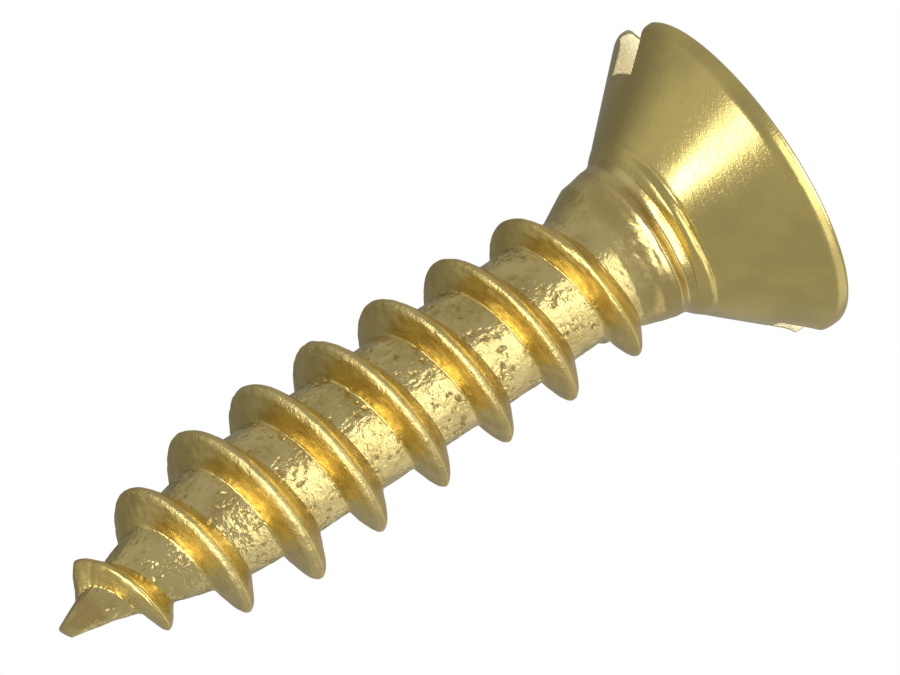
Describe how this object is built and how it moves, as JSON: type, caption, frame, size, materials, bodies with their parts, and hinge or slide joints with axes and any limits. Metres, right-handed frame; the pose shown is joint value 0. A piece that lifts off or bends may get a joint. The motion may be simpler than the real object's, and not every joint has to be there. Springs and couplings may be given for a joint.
{
  "type": "slotted countersunk wood screw",
  "caption": "Brass wood screw: flat countersunk head with a driver slot, short flared neck, right-hand wood thread and a tapered gimlet point.",
  "frame": {"origin": "on the screw's axis, in the plane of the head's flat top, which is flush with the work when the screw is home", "axes": "+Z along the axis from the tip to the head, so the screw is driven along -Z; the driver slot runs along X"},
  "size_m": [0.0076, 0.0076, 0.0179],
  "materials": {
    "brass_head": "satin, tumbled, with a bright sawn slot",
    "brass_shank": "rolled, bright and finely pitted",
    "brass_thread": "rolled, smooth flanks with a satin crest"
  },
  "bodies": {
    "root": {"head": "brass_head", "neck": "brass_shank", "core": "brass_shank", "thread": "brass_thread", "gimlet_point": "brass_shank"}
  },
  "joints": []
}
